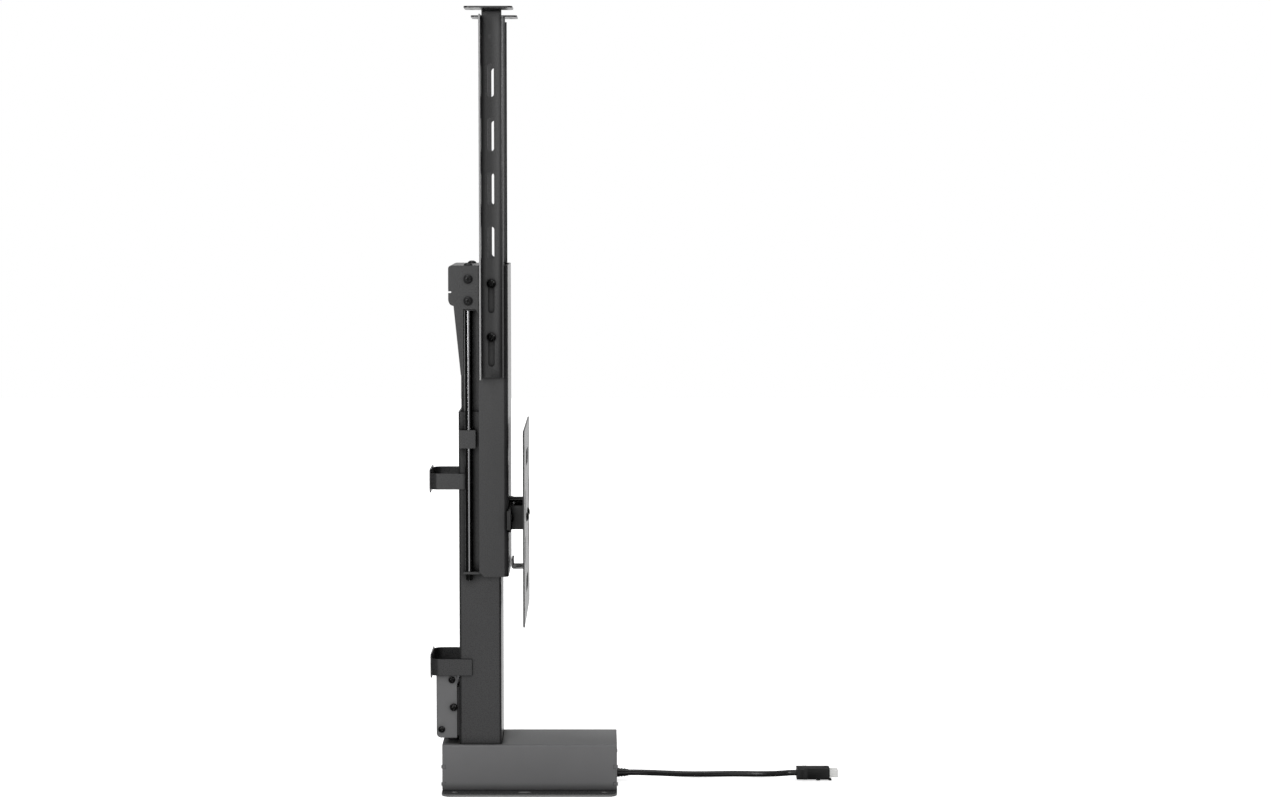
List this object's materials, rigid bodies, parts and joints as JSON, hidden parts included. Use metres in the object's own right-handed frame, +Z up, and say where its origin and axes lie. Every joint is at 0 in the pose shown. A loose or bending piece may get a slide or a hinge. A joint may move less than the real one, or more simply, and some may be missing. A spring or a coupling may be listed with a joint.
{
  "type": "tv lift mechanism",
  "caption": "Motor-driven column lift for a television in a cabinet, with a sliding carriage, a screen plate and slotted lid posts.",
  "frame": {"origin": "centre of the four anchor holes, at the underside of the base plate", "axes": "+Z up along the column, -Y to the front, where the screen hangs, +X to the right seen from the front"},
  "size_m": [0.2246, 0.5207, 0.98],
  "materials": {
    "dark_paint": "dark grey powder coat, fine texture",
    "grey_paint": "mid grey powder coat, fine texture",
    "black_paint": "gloss black",
    "black_bolts": "black oxide",
    "zinc": "zinc plated",
    "steel": "machined",
    "black_plastic": "moulded",
    "black_rubber": "matt",
    "pale_plastic": "moulded",
    "board": "circuit board"
  },
  "bodies": {
    "base": {"base_plate": "dark_paint", "base_cover": "grey_paint", "front_panel": "grey_paint", "rear_panel": "grey_paint", "control_board": "board", "column_foot": "dark_paint", "foot_bolts": "zinc", "outer_column": "dark_paint", "glide_pads": "black_plastic", "guide_bracket_left": "dark_paint", "guide_bracket_right": "dark_paint", "guide_bush_left": "black_plastic", "guide_bush_right": "black_plastic", "upper_cable_bracket": "dark_paint", "lower_cable_bracket": "dark_paint", "motor_bracket": "dark_paint", "motor_housing": "grey_paint", "housing_screws": "black_bolts", "gearbox": "steel", "motor": "steel", "wire_grommet": "black_rubber", "lower_bearing": "zinc", "upper_bearing": "zinc", "cord_gland": "black_rubber", "power_cable": "black_rubber", "connector_body": "black_plastic", "connector_latch": "black_plastic", "connector_insert": "pale_plastic"},
    "screw": {"drive_screw": "steel", "screw_gear": "black_plastic", "screw_guide": "pale_plastic"},
    "pinion": {"motor_pinion": "zinc"},
    "post_left": {"lid_post_left": "dark_paint"},
    "post_right": {"lid_post_right": "dark_paint"},
    "carriage": {"inner_stage": "dark_paint", "head_plate": "dark_paint", "drive_nut": "pale_plastic", "carriage_sleeve": "dark_paint", "top_cap": "dark_paint", "cap_bolts": "black_bolts", "rod_head_left": "dark_paint", "rod_head_right": "dark_paint", "guide_rod_left": "steel", "guide_rod_right": "steel", "rod_foot_left": "dark_paint", "rod_foot_right": "dark_paint", "rod_nuts": "black_bolts", "slide_shoes": "black_plastic", "cross_rail": "black_paint", "rail_bolts": "black_bolts", "hanger_bracket": "dark_paint", "hanger_bolt": "black_bolts", "screen_plate": "dark_paint", "plate_bolts": "black_bolts", "lower_tab": "dark_paint", "post_bolts": "black_bolts", "post_nuts": "zinc"}
  },
  "joints": [
    {"name": "lift", "type": "slide", "parent": "base", "child": "carriage", "axis": [0, 0, 1], "range_m": [-0.14, 0.15]},
    {"name": "post_left_height", "type": "slide", "parent": "carriage", "child": "post_left", "axis": [0, 0, 1], "range_m": [0, 0.033]},
    {"name": "post_right_height", "type": "slide", "parent": "carriage", "child": "post_right", "axis": [0, 0, 1], "range_m": [0, 0.033]},
    {"name": "screw_turn", "type": "hinge", "parent": "base", "child": "screw", "pos_m": [0, 0.0618, 0.1], "axis": [0, 0, 1], "continuous": true},
    {"name": "pinion_turn", "type": "hinge", "parent": "base", "child": "pinion", "pos_m": [0, 0.0938, 0.1], "axis": [0, 0, 1], "continuous": true}
  ],
  "couplings": [
    {"joint": "screw_turn", "follows": "lift", "rad_per_m": 628.32},
    {"joint": "pinion_turn", "follows": "lift", "rad_per_m": -1382.3}
  ]
}
